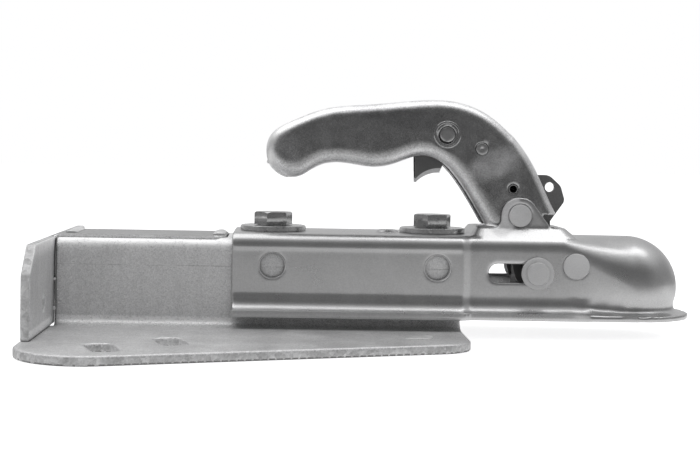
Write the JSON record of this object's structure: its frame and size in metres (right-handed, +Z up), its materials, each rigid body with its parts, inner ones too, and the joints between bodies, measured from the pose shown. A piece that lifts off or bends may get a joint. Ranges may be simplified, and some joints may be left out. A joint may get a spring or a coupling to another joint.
{
  "type": "trailer coupling head",
  "caption": "Pressed ball coupling head with grip handle, finger trigger and sliding jaw, bolted onto a galvanised flared drawbar adapter.",
  "frame": {"origin": "centre of the towing ball when it is seated in the head", "axes": "+X from the drawbar towards the nose, +Z up, the viewer of the picture stands on the -Y side"},
  "size_m": [0.3607, 0.296, 0.1317],
  "materials": {
    "zinc_plate": "bright zinc plating on pressed steel, satin",
    "dark_chromate": "darker polished plating on pressed steel",
    "dark_sheet": "dull dark plating on sheet",
    "black_steel": "bare dark steel, oiled",
    "cast_jaw": "cast steel, lightly greased",
    "hot_dip_zinc": "hot-dip galvanised, mottled matt",
    "spring_steel": "oiled spring wire",
    "bright_pin": "zinc-plated pin, matt end",
    "dark_pin": "darker plated pin",
    "fastener_zinc": "bright zinc-plated fastener"
  },
  "bodies": {
    "housing": {"coupling_body": "zinc_plate", "pivot_pin": "bright_pin", "fixed_pin": "bright_pin", "lock_plate": "dark_sheet", "adapter_channel": "hot_dip_zinc", "end_plate": "hot_dip_zinc", "plug_welds": "hot_dip_zinc", "rear_bolt": "fastener_zinc", "front_bolt": "fastener_zinc", "rear_nut": "fastener_zinc", "front_nut": "fastener_zinc", "rear_washer": "fastener_zinc", "front_washer": "fastener_zinc", "rear_small_washer": "fastener_zinc", "front_small_washer": "fastener_zinc"},
    "lever": {"handle": "dark_chromate", "near_drive_arm": "black_steel", "far_drive_arm": "black_steel", "trigger_pin": "dark_pin", "spacer_rivet": "dark_pin", "roll_pin": "dark_pin", "handle_spring": "spring_steel", "trigger_spring": "spring_steel"},
    "jaw": {"ball_jaw": "cast_jaw", "sliding_pin": "bright_pin", "near_slide_washer": "bright_pin", "far_slide_washer": "bright_pin"},
    "finger_lever": {"trigger": "dark_sheet"},
    "latch": {"latch_pawl": "dark_sheet"}
  },
  "joints": [
    {"name": "handle_lift", "type": "hinge", "parent": "housing", "child": "lever", "pos_m": [-0.0639, 0, 0.0398], "axis": [0, 1, 0], "range_deg": [0, 37], "stiffness_Nm_per_rad": 0.8, "springref_deg": -17.19},
    {"name": "jaw_slide", "type": "slide", "parent": "housing", "child": "jaw", "axis": [1, 0, 0], "range_m": [-0.021, 0]},
    {"name": "trigger_pull", "type": "hinge", "parent": "lever", "child": "finger_lever", "pos_m": [-0.1047, 0, 0.0841], "axis": [0, 1, 0], "range_deg": [0, 12], "stiffness_Nm_per_rad": 0.1, "springref_deg": -17.19},
    {"name": "pawl_turn", "type": "hinge", "parent": "lever", "child": "latch", "pos_m": [-0.0674, 0, 0.0544], "axis": [0, 1, 0], "range_deg": [-10.8, 0]}
  ],
  "couplings": [
    {"joint": "jaw_slide", "follows": "handle_lift", "m_per_rad": -0.03251},
    {"joint": "pawl_turn", "follows": "trigger_pull", "ratio": -0.9}
  ]
}
